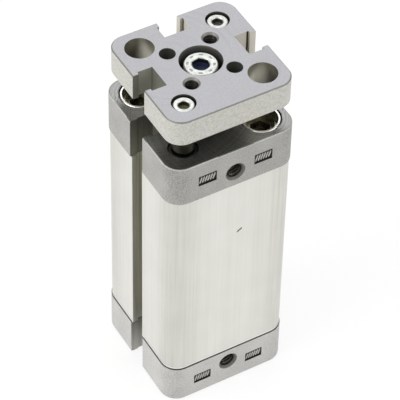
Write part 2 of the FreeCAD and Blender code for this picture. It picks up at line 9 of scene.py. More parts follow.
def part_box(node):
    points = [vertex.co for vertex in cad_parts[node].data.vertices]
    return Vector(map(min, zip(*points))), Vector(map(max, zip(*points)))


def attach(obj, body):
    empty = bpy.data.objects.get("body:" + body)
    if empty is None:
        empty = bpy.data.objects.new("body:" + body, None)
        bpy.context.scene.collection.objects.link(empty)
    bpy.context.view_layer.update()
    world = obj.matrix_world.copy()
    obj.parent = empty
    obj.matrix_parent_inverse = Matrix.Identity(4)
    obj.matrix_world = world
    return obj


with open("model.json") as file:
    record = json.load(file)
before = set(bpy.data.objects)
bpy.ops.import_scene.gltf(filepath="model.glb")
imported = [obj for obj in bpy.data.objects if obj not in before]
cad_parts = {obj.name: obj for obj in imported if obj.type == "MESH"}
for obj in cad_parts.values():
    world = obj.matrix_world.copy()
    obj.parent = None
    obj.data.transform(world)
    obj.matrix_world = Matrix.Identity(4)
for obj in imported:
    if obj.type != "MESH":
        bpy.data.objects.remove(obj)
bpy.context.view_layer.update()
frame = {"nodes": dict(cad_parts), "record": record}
nodes = frame["nodes"]
mounts = {mount["name"]: mount for mount in frame["record"]["mounts"]}
mm = 0.001
print("frame loaded:", len(nodes), "nodes")


cameraLook = {
    "place": (-0.21142, -0.35702, 0.48304),
    "aim": (0.0, -0.0012, 0.05435),
    "roll": 1.41,        # degrees
    "lens": 208.3,
    "sensor": 36.0,
}


def turnTowards(place, aim):
    return (Vector(aim) - Vector(place)).to_track_quat("-Z", "Y").to_matrix().to_4x4()


def placeCamera(look):
    camera = bpy.data.objects.new("camera", bpy.data.cameras.new("camera"))
    camera.data.lens = look["lens"]
    camera.data.sensor_width = look["sensor"]
    camera.data.clip_start = 0.01
    turn = turnTowards(look["place"], look["aim"])
    roll = Matrix.Rotation(math.radians(look["roll"]), 4, "Z")
    camera.matrix_world = Matrix.Translation(look["place"]) @ turn @ roll
    bpy.context.scene.collection.objects.link(camera)
    bpy.context.scene.camera = camera


lampSettings = {
    "keyLamp": {"place": (-0.72, 0.04, 0.70), "size": 0.85, "power": 5.0, "colour": (1.0, 0.99, 0.97)},
    "sideLamp": {"place": (0.56, -0.50, 0.66), "size": 0.60, "power": 1.9, "colour": (1.0, 0.98, 0.95)},
    "backLamp": {"place": (0.30, 0.55, 0.85), "size": 0.50, "power": 1.2, "colour": (0.95, 0.97, 1.0)},
}


def placeLamps(lamps, aim):
    for name, look in lamps.items():
        lamp = bpy.data.lights.new(name, "AREA")
        lamp.shape = "DISK"
        lamp.size = look["size"]
        lamp.energy = look["power"]
        lamp.color = look["colour"]
        holder = bpy.data.objects.new(name, lamp)
        holder.matrix_world = Matrix.Translation(look["place"]) @ turnTowards(look["place"], aim)
        bpy.context.scene.collection.objects.link(holder)


def put(tree, kind, inputs=None, **settings):    # a node, its settings, and numbers or links on its sockets
    node = tree.nodes.new(kind)
    for name, value in settings.items():
        setattr(node, name, value)
    for name, value in (inputs or {}).items():
        if isinstance(value, bpy.types.NodeSocket):
            tree.links.new(value, node.inputs[name])
        else:
            node.inputs[name].default_value = value
    return node


def calc(tree, operation, first, second=0.0):
    return put(tree, "ShaderNodeMath", {0: first, 1: second}, operation=operation).outputs[0]


def remap(tree, value, low, high, outLow=0.0, outHigh=1.0, smooth=False):
    node = put(tree, "ShaderNodeMapRange",
               {"Value": value, "From Min": low, "From Max": high, "To Min": outLow, "To Max": outHigh},
               interpolation_type="SMOOTHSTEP" if smooth else "LINEAR", clamp=True)
    return node.outputs["Result"]


def blendColours(tree, factor, first, second):
    node = put(tree, "ShaderNodeMix", data_type="RGBA", clamp_factor=True)
    for index, value in ((0, factor), (6, first), (7, second)):
        if isinstance(value, bpy.types.NodeSocket):
            tree.links.new(value, node.inputs[index])
        else:
            node.inputs[index].default_value = value
    return node.outputs[2]


def placeInMm(tree):    # Object coordinates in millimetres, the CAD's own frame
    coordinates = put(tree, "ShaderNodeTexCoord").outputs["Object"]
    return put(tree, "ShaderNodeVectorMath", {0: coordinates, "Scale": 1000.0}, operation="SCALE").outputs[0]


def axes(tree, vector):
    node = put(tree, "ShaderNodeSeparateXYZ", {0: vector})
    return node.outputs[0], node.outputs[1], node.outputs[2]


def mmOf(place):
    return [value / mm for value in place]


def reachAndAcross(tree, x, y):    # the larger and the smaller distance from the middle
    x = calc(tree, "ABSOLUTE", x)
    y = calc(tree, "ABSOLUTE", y)
    return calc(tree, "MAXIMUM", x, y), calc(tree, "MINIMUM", x, y)


def axisDistance(tree, place, centre):    # how far a place is from an upright axis
    apart = put(tree, "ShaderNodeVectorMath", {0: place, 1: centre}, operation="SUBTRACT")
    flat = put(tree, "ShaderNodeVectorMath", {0: apart.outputs[0], 1: (1.0, 1.0, 0.0)},
               operation="MULTIPLY")
    return put(tree, "ShaderNodeVectorMath", {0: flat.outputs[0]}, operation="LENGTH").outputs["Value"]


def facing(tree):    # the surface's own direction, before any bump
    return axes(tree, put(tree, "ShaderNodeNewGeometry").outputs["True Normal"])


def colour(red, green, blue):    # from 0-255 screen values to linear light
    parts = [value / 255 for value in (red, green, blue)]
    parts = [part / 12.92 if part <= 0.04045 else ((part + 0.055) / 1.055) ** 2.4 for part in parts]
    return (*parts, 1.0)


def newGroup(name, inputs, outputs):
    tree = bpy.data.node_groups.new(name, "ShaderNodeTree")
    for label, kind, value in inputs:
        socket = tree.interface.new_socket(label, in_out="INPUT", socket_type="NodeSocket" + kind)
        if value is not None:
            socket.default_value = value
    for label, kind in outputs:
        tree.interface.new_socket(label, in_out="OUTPUT", socket_type="NodeSocket" + kind)
    return tree, tree.nodes.new("NodeGroupInput").outputs, tree.nodes.new("NodeGroupOutput").inputs


def useGroup(tree, group, inputs):
    node = tree.nodes.new("ShaderNodeGroup")
    node.node_tree = group
    for name, value in inputs.items():
        if isinstance(value, bpy.types.NodeSocket):
            tree.links.new(value, node.inputs[name])
        else:
            node.inputs[name].default_value = value
    return node.outputs


noiseRange = (0.3, 0.7)    # the part of the noise that becomes 0 to 1
pitRange = (0.0, 0.35)


def makeBlastGrain():    # fine pitted grain and slow cloudy tone, as bead blasting leaves
    tree, given, result = newGroup(
        "blastGrain",
        [("Place", "Vector", None), ("Grains per mm", "Float", 4.0), ("Cloud per mm", "Float", 0.08)],
        [("Grain", "Float"), ("Cloud", "Float"), ("Pits", "Float")])
    fine = put(tree, "ShaderNodeTexNoise",
               {"Vector": given["Place"], "Scale": given["Grains per mm"], "Detail": 3.0, "Roughness": 0.6})
    cloud = put(tree, "ShaderNodeTexNoise",
                {"Vector": given["Place"], "Scale": given["Cloud per mm"], "Detail": 2.0, "Roughness": 0.5})
    cells = put(tree, "ShaderNodeTexVoronoi", {"Vector": given["Place"], "Scale": given["Grains per mm"]})
    tree.links.new(remap(tree, fine.outputs["Fac"], *noiseRange), result["Grain"])
    tree.links.new(remap(tree, cloud.outputs["Fac"], *noiseRange), result["Cloud"])
    tree.links.new(remap(tree, cells.outputs["Distance"], *pitRange), result["Pits"])
    return tree


drawnStretch = (1.0, 1.0, 0.012)    # along Z the streaks are this much longer than they are wide


def makeDrawnLines():    # streaks along Z, as an extrusion die or a grinding wheel leaves
    tree, given, result = newGroup(
        "drawnLines",
        [("Place", "Vector", None), ("Lines per mm", "Float", 3.0), ("Bands per mm", "Float", 0.25)],
        [("Lines", "Float"), ("Bands", "Float")])
    for name, rate, detail in (("Lines", "Lines per mm", 4.0), ("Bands", "Bands per mm", 2.0)):
        drawn = put(tree, "ShaderNodeVectorMath", {0: given["Place"], 1: drawnStretch},
                    operation="MULTIPLY")
        noise = put(tree, "ShaderNodeTexNoise",
                    {"Vector": drawn.outputs[0], "Scale": given[rate], "Detail": detail, "Roughness": 0.55})
        tree.links.new(remap(tree, noise.outputs["Fac"], *noiseRange), result[name])
    return tree


def makeTurnedRings():    # fine uneven rings about an upright axis, as facing on a lathe or mill leaves
    tree, given, result = newGroup(
        "turnedRings",
        [("Place", "Vector", None), ("Centre", "Vector", None), ("Rings per mm", "Float", 5.0)],
        [("Rings", "Float")])
    radius = axisDistance(tree, given["Place"], given["Centre"])
    rings = put(tree, "ShaderNodeTexNoise",
                {"W": radius, "Scale": given["Rings per mm"], "Detail": 2.0}, noise_dimensions="1D")
    tree.links.new(remap(tree, rings.outputs["Fac"], *noiseRange), result["Rings"])
    return tree


def makeSunkArea():    # 1 inside an upright bore once deeper than a level, fading over the soft distance
    tree, given, result = newGroup(
        "sunkArea",
        [("Place", "Vector", None), ("Centre", "Vector", None), ("Radius", "Float", 2.0),
         ("Level", "Float", 0.0), ("Depth", "Float", 0.1), ("Soft", "Float", 0.04)],
        [("Mask", "Float"), ("Depth below", "Float")])
    radius = axisDistance(tree, given["Place"], given["Centre"])
    outer = calc(tree, "ADD", given["Radius"], given["Soft"])
    inner = calc(tree, "SUBTRACT", given["Radius"], given["Soft"])
    within = remap(tree, radius, inner, outer, 1.0, 0.0)
    height = axes(tree, given["Place"])[2]
    below = calc(tree, "ABSOLUTE", calc(tree, "SUBTRACT", given["Level"], height))
    start = calc(tree, "SUBTRACT", given["Depth"], given["Soft"])
    end = calc(tree, "ADD", given["Depth"], given["Soft"])
    deep = remap(tree, below, start, end)
    tree.links.new(calc(tree, "MULTIPLY", within, deep), result["Mask"])
    tree.links.new(below, result["Depth below"])
    return tree


screwPlace = 11.0    # mm from the middle to each corner screw and guide, along x and along y
blastGrain = makeBlastGrain()
drawnLines = makeDrawnLines()
turnedRings = makeTurnedRings()
sunkArea = makeSunkArea()
print("effects made")


def newFinish(name, metallic, roughness):
    material = bpy.data.materials.new(name)
    material.use_nodes = True
    tree = material.node_tree
    shader = tree.nodes["Principled BSDF"]
    shader.inputs["Metallic"].default_value = metallic
    shader.inputs["Roughness"].default_value = roughness
    return material, tree, shader


def roughnessFrom(tree, value, roughness, spread):    # a value from 0 to 1 spreads it below and above
    return remap(tree, value, 0, 1, roughness - spread[0], roughness + spread[1])


def sunkMask(tree, place, centre, radius, level, depth, soft=0.04):
    return useGroup(tree, sunkArea, {"Place": place, "Centre": centre, "Radius": radius, "Level": level,
                                     "Depth": depth, "Soft": soft})["Mask"]


def addBump(tree, shader, height, depthMm):
    bump = put(tree, "ShaderNodeBump", {"Height": height, "Distance": depthMm * mm, "Strength": 1.0})
    tree.links.new(bump.outputs[0], shader.inputs["Normal"])


def insideBox(tree, place, middle, half, soft):    # 1 inside an upright box, fading over the soft distance
    mask = None
    for coordinate, centre, reach in zip(axes(tree, place), middle, half):
        away = calc(tree, "ABSOLUTE", calc(tree, "SUBTRACT", coordinate, centre))
        within = remap(tree, away, reach - soft, reach + soft, 1.0, 0.0)
        mask = within if mask is None else calc(tree, "MULTIPLY", mask, within)
    return mask


plateLook = {
    "face": colour(166, 166, 169), "faceDark": colour(136, 135, 138), "side": colour(201, 200, 194),
    # chamfer is a painted dark reflection on the top edges' chamfer
    "sideDark": colour(171, 170, 162), "chamfer": colour(92, 91, 88), "bore": colour(172, 169, 156),
    "plain": colour(92, 92, 86),
    # notch tones are painted: shade in the -X notch, darker on floor and lip, light on the other notches,
    # and a near-black shadow under the lip
    "notch": colour(166, 166, 154), "notchDark": colour(124, 124, 114),
    "notchLight": colour(205, 201, 190), "undercut": colour(24, 23, 20),
    # seat, seatEdge and tapped paint shade inside the holes
    "seat": colour(40, 39, 36), "seatEdge": colour(120, 119, 115), "tapped": colour(34, 33, 31),
    "metallic": 0.45, "roughness": 0.46, "grainsPerMm": 2.4, "bumpMm": 0.016, "boreRoughness": 0.34,
    "screwSeatGrow": 0.45, "centreSeatGrow": 1.27, "mouth": 0.35,
    "cloudPerMm": 0.11, "sweepCentre": (-6.0, 5.0, 0.0), "sweepPerMm": 0.9, "sweepShare": 0.38,
    "speckShare": 0.42, "chamferShare": 0.8, "holeGrow": 0.05, "holeEdge": 0.12, "boreMetal": 0.92,
    "seatFade": (0.1, 2.2), "roughSpread": (0.05, 0.1), "speckRange": (0.25, 1.0, 0.0, 0.8),
    # how far a surface has to face up to be the flat top, the chamfer or a notch's wall
    "upFlat": (0.85, 0.95), "upChamferFrom": (0.3, 0.5), "upChamferTo": (0.8, 0.9), "upWall": (0.1, 0.3),
    # distances in mm over which each part of a notch fades in: the painted shade on its floor and lip, the
    # painted shadow under the lip, and past the x limit the painted light on every notch but the -X one
    "notchHalf": (4.0, 4.2), "notchFrom": (11.3, 11.45), "floorTo": (11.5, 11.8), "lipFrom": (15.5, 15.7),
    "undercutFrom": (15.0, 15.1), "undercutTo": (15.5, 15.6), "lightUpTo": (-8.0, -7.0),
    "notchSkin": (0.12, 0.04),
}


def plateHoles(look):    # centre, radius and tone of each hole in the plate; the dark plain, tapped and seat tones are painted shade
    holes = []
    for name, mount in mounts.items():
        if name.startswith("plate_") and "r_mm" in mount["dims"]:
            tone = "bore" if "access" in name else "plain" if "plain" in name else "tapped"
            holes.append((mount["pos_m"], mount["dims"]["r_mm"] + look["holeGrow"], tone))
    for node, grow in (("rod_screw", "centreSeatGrow"), ("guide_screw_left", "screwSeatGrow"),
                       ("guide_screw_right", "screwSeatGrow")):
        low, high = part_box(node)
        middle = [(low[0] + high[0]) / 2, (low[1] + high[1]) / 2, high[2]]
        holes.append((middle, (high[0] - low[0]) / 2 / mm + look[grow], "seat"))
    return holes


def makePlateFinish(look):
    material, tree, shader = newFinish("blastedPlate", look["metallic"], look["roughness"])
    place = placeInMm(tree)
    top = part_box("yoke_plate")[1][2] / mm
    grain = useGroup(tree, blastGrain, {"Place": place, "Grains per mm": look["grainsPerMm"],
                                        "Cloud per mm": look["cloudPerMm"]})
    sweep = useGroup(tree, turnedRings, {"Place": place, "Centre": look["sweepCentre"],
                                         "Rings per mm": look["sweepPerMm"]})
    up = facing(tree)[2]
    flatTop = remap(tree, up, *look["upFlat"])
    speck = remap(tree, grain["Grain"], *look["speckRange"])
    onSide = blendColours(tree, speck, look["side"], look["sideDark"])
    swept = calc(tree, "MULTIPLY", calc(tree, "MULTIPLY", sweep["Rings"], grain["Cloud"]),
                 look["sweepShare"])
    faceTone = calc(tree, "MAXIMUM", calc(tree, "MULTIPLY", speck, look["speckShare"]), swept)
    onFace = blendColours(tree, faceTone, look["face"], look["faceDark"])
    base = blendColours(tree, flatTop, onSide, onFace)
    # painted dark reflection on the top edges' chamfer
    chamfer = calc(tree, "MULTIPLY", remap(tree, up, *look["upChamferFrom"]),
                   remap(tree, up, *look["upChamferTo"], 1.0, 0.0))
    base = blendColours(tree, calc(tree, "MULTIPLY", chamfer, look["chamferShare"]), base, look["chamfer"])
    x, y = axes(tree, place)[:2]
    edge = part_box("yoke_plate")[1][0] / mm
    reach, across = reachAndAcross(tree, x, y)
    skin = [edge - depth for depth in look["notchSkin"]]
    inNotch = calc(tree, "MULTIPLY", remap(tree, reach, *skin, 1.0, 0.0),
                   remap(tree, across, *look["notchHalf"], 1.0, 0.0))
    inNotch = calc(tree, "MULTIPLY", inNotch, remap(tree, reach, *look["notchFrom"]))
    upright = calc(tree, "ABSOLUTE", up)
    inNotch = calc(tree, "MULTIPLY", inNotch, remap(tree, upright, *look["upWall"], 1.0, 0.0))
    lipOrFloor = calc(tree, "MAXIMUM", remap(tree, reach, *look["floorTo"], 1.0, 0.0),
                      remap(tree, reach, *look["lipFrom"]))
    notch = blendColours(tree, lipOrFloor, look["notch"], look["notchDark"])
    undercut = calc(tree, "MULTIPLY", remap(tree, reach, *look["undercutFrom"]),
                    remap(tree, reach, *look["undercutTo"], 1.0, 0.0))
    litNotch = blendColours(tree, undercut, look["notchLight"], look["undercut"])
    # the notches past x = -7 take the painted light
    notch = blendColours(tree, remap(tree, x, *look["lightUpTo"]), notch, litNotch)
    base = blendColours(tree, inNotch, base, notch)
    bored = 0.0
    shiny = look["metallic"]
    for centre, radius, tone in plateHoles(look):
        hole = useGroup(tree, sunkArea, {
            "Place": place, "Centre": [value / mm for value in centre], "Radius": radius, "Level": top,
            "Depth": look["holeEdge"] if tone != "tapped" else look["mouth"]})
        inside = hole["Mask"]
        wall = look[tone]
        # painted shade on the seat walls, lighter at the mouth and darker with depth
        if tone == "seat":
            fade = remap(tree, hole["Depth below"], *look["seatFade"])
            wall = blendColours(tree, fade, look["seatEdge"], wall)
        base = blendColours(tree, inside, base, wall)
        bored = calc(tree, "MAXIMUM", inside, bored)
        if tone != "plain":
            shiny = calc(tree, "MAXIMUM", calc(tree, "MULTIPLY", inside, look["boreMetal"]), shiny)
    tree.links.new(shiny, shader.inputs["Metallic"])
    tree.links.new(base, shader.inputs["Base Color"])
    rough = roughnessFrom(tree, grain["Grain"], look["roughness"], look["roughSpread"])
    smoother = calc(tree, "MULTIPLY", bored, calc(tree, "SUBTRACT", rough, look["boreRoughness"]))
    tree.links.new(calc(tree, "SUBTRACT", rough, smoother), shader.inputs["Roughness"])
    height = calc(tree, "MULTIPLY", grain["Pits"], calc(tree, "SUBTRACT", 1.0, bored))
    addBump(tree, shader, height, look["bumpMm"])
    return material


capLooks = {
    # the bearing cap's cast tones are darker than the end cap's as painted shade; slot and slotLow are
    # painted shade inside each slot
    "bearing_cap": {"cast": colour(180, 179, 175), "castDark": colour(124, 123, 119),
                    "slot": colour(86, 86, 79), "slotLow": colour(140, 140, 124)},
    "end_cap": {"cast": colour(207, 206, 203), "castDark": colour(160, 159, 156),
                "slot": colour(130, 130, 124), "slotLow": colour(205, 204, 198)},
}
capLook = {
    # rim is the colour of the painted highlight along the caps' edge fillets
    "machined": colour(138, 138, 136), "machinedDark": colour(96, 97, 93), "rim": colour(208, 208, 203),
    # the near-black first tone paints a shadow line along the bearing cap slot's lower edge
    "seam": colour(16, 16, 14), "recess": colour(26, 26, 24), "portMouth": colour(102, 101, 96),
    "port": colour(40, 39, 36), "guideBore": colour(20, 20, 18),
    "metallic": 0.2, "roughness": 0.48, "grainsPerMm": 3.0, "bumpMm": 0.022, "cornerShade": 0.2,
    "markSpread": 7.9, "markInset": 5.9, "markHalf": (2.57, 0.4, 1.62), "portHalf": (3.4, 5.2, 3.4),
    "cloudPerMm": 0.16, "cloudShare": 0.22, "cornerFrom": (12.0, 16.5), "ringsPerMm": 2.5,
    "linesPerMm": 1.8, "bandsPerMm": 0.5, "streakShare": 0.4, "flatMetal": 0.96, "flatGloss": 0.16,
    "ringShare": 0.25, "markDeep": 0.45, "soft": 0.05, "roughSpread": (0.06, 0.1),
    "speckRange": (0.2, 1.0, 0.0, 0.68),
    # how far a surface has to face up or down to be machined flat, or to be an edge fillet with a painted
    # highlight
    "upFlat": (0.9, 0.98), "upWornFrom": (0.15, 0.4), "upWornTo": (0.6, 0.85, 0.45, 0.0),
    # distances in mm over which each part fades in, then the round seats and bores
    "slotEdge": (17.85, 17.93), "slotHalf": (5.0, 5.3), "seamUpTo": (0.7, 0.8), "portFrom": (0.02, 0.08),
    "portDeep": (0.4, 0.9), "seatRadius": 5.35, "seatDepth": 0.08, "guideRadius": 3.9, "guideDepth": 0.25,
}


def makeCapFinish(node, look):
    look = {**look, **capLooks[node]}
    low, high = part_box(node)
    front = low[1] / mm
    isFront = node == "bearing_cap"
    free = high[2] / mm if isFront else low[2] / mm
    inward = -1 if isFront else 1
    material, tree, shader = newFinish(node + "Casting", look["metallic"], look["roughness"])
    place = placeInMm(tree)
    grain = useGroup(tree, blastGrain, {"Place": place, "Grains per mm": look["grainsPerMm"],
                                        "Cloud per mm": look["cloudPerMm"]})
    speck = remap(tree, grain["Grain"], *look["speckRange"])
    tone = calc(tree, "ADD", speck, calc(tree, "MULTIPLY", grain["Cloud"], look["cloudShare"]))
    x, y, z = axes(tree, place)
    reach, across = reachAndAcross(tree, x, y)
    towardsCorner = remap(tree, across, *look["cornerFrom"], 0.0, look["cornerShade"], smooth=True)
    tone = calc(tree, "ADD", tone, towardsCorner)
    cast = blendColours(tree, tone, look["cast"], look["castDark"])
    rings = None
    for side in (-1, 1):
        around = useGroup(tree, turnedRings, {
            "Place": place, "Centre": (side * screwPlace, -side * screwPlace, 0.0),
            "Rings per mm": look["ringsPerMm"]})["Rings"]
        rings = around if rings is None else calc(tree, "MULTIPLY", rings, around)
    machined = blendColours(tree, rings, look["machined"], look["machinedDark"])
    upright = calc(tree, "ABSOLUTE", facing(tree)[2])
    flat = remap(tree, upright, *look["upFlat"])
    # painted highlight: the edge fillets are lightened towards the rim colour
    filletHighlight = calc(tree, "MULTIPLY", remap(tree, upright, *look["upWornFrom"]),
                remap(tree, upright, *look["upWornTo"]))
    base = blendColours(tree, flat, blendColours(tree, filletHighlight, cast, look["rim"]), machined)
    inSlot = calc(tree, "MULTIPLY", remap(tree, reach, *look["slotEdge"], 1.0, 0.0),
                  remap(tree, across, *look["slotHalf"], 1.0, 0.0))
    inSlot = calc(tree, "MULTIPLY", inSlot, calc(tree, "SUBTRACT", 1.0, flat))
    drawn = useGroup(tree, drawnLines, {"Place": place, "Lines per mm": look["linesPerMm"],
                                        "Bands per mm": look["bandsPerMm"]})
    streak = calc(tree, "MULTIPLY", drawn["Lines"], look["streakShare"])
    # painted shade inside the slot, darker towards the top
    slot = blendColours(tree, remap(tree, z, low[2] / mm, high[2] / mm), look["slotLow"], look["slot"])
    base = blendColours(tree, inSlot, base, blendColours(tree, streak, slot, look["recess"]))
    if isFront:
        # painted shadow line along the slot's lower edge, where the cap meets the barrel
        slotFootShadowFrom, slotFootShadowTo = [low[2] / mm + height for height in look["seamUpTo"]]
        seam = calc(tree, "MULTIPLY", remap(tree, z, slotFootShadowFrom, slotFootShadowTo, 1.0, 0.0), inSlot)
        base = blendColours(tree, seam, base, look["seam"])
    portPlace = mmOf(mounts["front_port" if isFront else "rear_port"]["pos_m"])
    port = insideBox(tree, place, portPlace, look["portHalf"], look["soft"])
    portFrom, portTo = [front + depth for depth in look["portFrom"]]
    port = calc(tree, "MULTIPLY", port, remap(tree, y, portFrom, portTo))
    # painted shade in the port, darker further in
    deepFrom, deepTo = [front + depth for depth in look["portDeep"]]
    bored = blendColours(tree, remap(tree, y, deepFrom, deepTo), look["portMouth"], look["port"])
    base = blendColours(tree, port, base, bored)
    for side in (-1, 1):
        middle = (side * look["markSpread"], front + look["markDeep"], free + inward * look["markInset"])
        recess = insideBox(tree, place, middle, look["markHalf"], look["soft"])
        base = blendColours(tree, recess, base, look["recess"])
    # painted shade on the seats round the collar screws, in the recess tone
    for side in (-1, 1):
        seat = sunkMask(tree, place, (side * screwPlace, -side * screwPlace, 0.0), look["seatRadius"],
                        free, look["seatDepth"])
        base = blendColours(tree, seat, base, look["recess"])
    # painted shade in the guide rods' bores, round the rods
    if isFront:
        for side in (-1, 1):
            bore = sunkMask(tree, place, (side * screwPlace, side * screwPlace, 0.0),
                            look["guideRadius"], free, look["guideDepth"])
            base = blendColours(tree, bore, base, look["guideBore"])
    tree.links.new(base, shader.inputs["Base Color"])
    tree.links.new(remap(tree, flat, 0, 1, look["metallic"], look["flatMetal"]), shader.inputs["Metallic"])
    rough = roughnessFrom(tree, grain["Grain"], look["roughness"], look["roughSpread"])
    rough = calc(tree, "SUBTRACT", rough, calc(tree, "MULTIPLY", flat, look["flatGloss"]))
    tree.links.new(rough, shader.inputs["Roughness"])
    height = calc(tree, "MULTIPLY", grain["Pits"], calc(tree, "SUBTRACT", 1.0, flat))
    turned = calc(tree, "MULTIPLY", calc(tree, "MULTIPLY", rings, flat), look["ringShare"])
    height = calc(tree, "ADD", height, turned)
    addBump(tree, shader, height, look["bumpMm"])
    return material


barrelLook = {
    "pale": colour(229, 228, 222), "line": colour(202, 201, 194), "slot": colour(234, 233, 221),
    # the dark tone after slotDark paints the shadow line at the barrel's foot and also colours the nick; the
    # near-white tone paints a highlight on the bottom edge
    "slotDark": colour(162, 161, 149), "joint": colour(38, 37, 34), "edge": colour(252, 252, 250),
    "metallic": 0.85, "roughness": 0.40, "linesPerMm": 2.4, "bandsPerMm": 0.16, "bumpMm": 0.006,
    "nick": {"middle": (1.95, -17.75, 57.6), "half": (0.68, 0.5, 0.3), "slope": 0.6, "soft": 0.1,
             "share": 0.9, "dent": 4.0},
    "cornerFrom": (0.45, 0.8),    # shares of half the width
    "cornerShade": 0.24, "lineShare": 0.14, "bandShare": 0.28, "cloudShare": 0.14, "slotHalf": (5.0, 5.3),
    "grainsPerMm": 0.7, "cloudPerMm": 0.12, "slotSkin": (0.16, 0.06), "slotLinesPerMm": 1.1,
    "slotBandsPerMm": 0.5, "lipDepth": (1.1, 0.2), "lipShare": 0.55, "edgeShare": 0.8, "jointShare": 0.85,
    "roughSpread": (0.06, 0.06),
    # mm above where the barrel meets the end cap: the painted shadow line fades out, the painted highlight
    # on the bottom edge fades in and out
    "jointUpTo": (0.2, 0.38), "edgeFrom": (0.3, 0.4), "edgeUpTo": (0.6, 0.8),
}


def makeBarrelFinish(look):
    low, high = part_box("barrel")
    half = high[0] / mm
    material, tree, shader = newFinish("anodisedBarrel", look["metallic"], look["roughness"])
    place = placeInMm(tree)
    drawn = useGroup(tree, drawnLines, {"Place": place, "Lines per mm": look["linesPerMm"],
                                        "Bands per mm": look["bandsPerMm"]})
    cloud = useGroup(tree, blastGrain, {"Place": place, "Grains per mm": look["grainsPerMm"],
                                        "Cloud per mm": look["cloudPerMm"]})
    x, y, z = axes(tree, place)
    reach, across = reachAndAcross(tree, x, y)
    cornerFrom = [half * share for share in look["cornerFrom"]]
    towardsCorner = remap(tree, across, *cornerFrom, 0.0, look["cornerShade"], smooth=True)
    lines = calc(tree, "MULTIPLY", drawn["Lines"], calc(tree, "ADD", towardsCorner, look["lineShare"]))
    tone = calc(tree, "ADD", lines, calc(tree, "MULTIPLY", drawn["Bands"], look["bandShare"]))
    tone = calc(tree, "ADD", tone, calc(tree, "MULTIPLY", cloud["Cloud"], look["cloudShare"]))
    base = blendColours(tree, calc(tree, "ADD", tone, towardsCorner), look["pale"], look["line"])
    skin = [half - depth for depth in look["slotSkin"]]
    inSlot = calc(tree, "MULTIPLY", remap(tree, reach, *skin, 1.0, 0.0),
                  remap(tree, across, *look["slotHalf"], 1.0, 0.0))
    streaks = useGroup(tree, drawnLines, {"Place": place, "Lines per mm": look["slotLinesPerMm"],
                                          "Bands per mm": look["slotBandsPerMm"]})["Lines"]
    lip = remap(tree, reach, *[half - depth for depth in look["lipDepth"]], 0.0, look["lipShare"])
    slot = blendColours(tree, streaks, look["slot"], look["slotDark"])
    base = blendColours(tree, inSlot, base, blendColours(tree, lip, slot, look["pale"]))
    jointUpTo, edgeFrom, edgeUpTo = [
        [low[2] / mm + rise for rise in look[part]] for part in ("jointUpTo", "edgeFrom", "edgeUpTo")]
    # painted highlight along the barrel's bottom edge, except in the slots
    edge = calc(tree, "MULTIPLY", remap(tree, z, *edgeFrom),
                remap(tree, z, *edgeUpTo, look["edgeShare"], 0.0))
    edge = calc(tree, "MULTIPLY", edge, calc(tree, "SUBTRACT", 1.0, inSlot))
    base = blendColours(tree, edge, base, look["edge"])
    # painted shadow line along the barrel's foot
    joint = remap(tree, z, *jointUpTo, look["jointShare"], 0.0)
    base = blendColours(tree, joint, base, look["joint"])
    own = look["nick"]
    slope = own["slope"]
    slant = calc(tree, "SUBTRACT", z, calc(tree, "MULTIPLY", x, slope))
    nickPlace = put(tree, "ShaderNodeCombineXYZ", {0: x, 1: y, 2: slant}).outputs[0]
    nickX, nickY, nickZ = own["middle"]
    nick = insideBox(tree, nickPlace, (nickX, nickY, nickZ - slope * nickX), own["half"], own["soft"])
    # the nick, a real dent, takes the same dark tone as the painted shadow line
    base = blendColours(tree, calc(tree, "MULTIPLY", nick, own["share"]), base, look["joint"])
    tree.links.new(base, shader.inputs["Base Color"])
    rough = roughnessFrom(tree, drawn["Lines"], look["roughness"], look["roughSpread"])
    tree.links.new(rough, shader.inputs["Roughness"])
    height = calc(tree, "SUBTRACT", drawn["Lines"], calc(tree, "MULTIPLY", nick, own["dent"]))
    addBump(tree, shader, height, look["bumpMm"])
    return material


zincLooks = {
    # socket paints shade on each key socket's walls; deep is the tone further down, a painted blue
    # reflection in the rod screw
    "rod_screw": {"keyRadius": 2.5, "socket": colour(40, 42, 46), "deep": colour(78, 88, 112)},
    "guide_screw_left": {"keyRadius": 1.72, "socket": colour(54, 52, 40), "deep": colour(138, 134, 112)},
    "guide_screw_right": {"keyRadius": 1.72, "socket": colour(60, 60, 56), "deep": colour(128, 128, 124)},
    "piston_screw": {"keyRadius": 1.8, "socket": colour(80, 80, 78), "deep": colour(40, 40, 38)},
}
zincLook = {
    "bright": colour(204, 206, 201), "dull": colour(176, 178, 172), "metallic": 0.7, "roughness": 0.34,
    "perMm": 6.0, "cloudPerMm": 0.9, "dullShare": 0.4, "bumpMm": 0.004,
    "socketDepth": 0.22, "socketSoft": 0.08, "deepDepth": 1.4, "deepSoft": 0.12, "roughSpread": (0, 0.14),
}


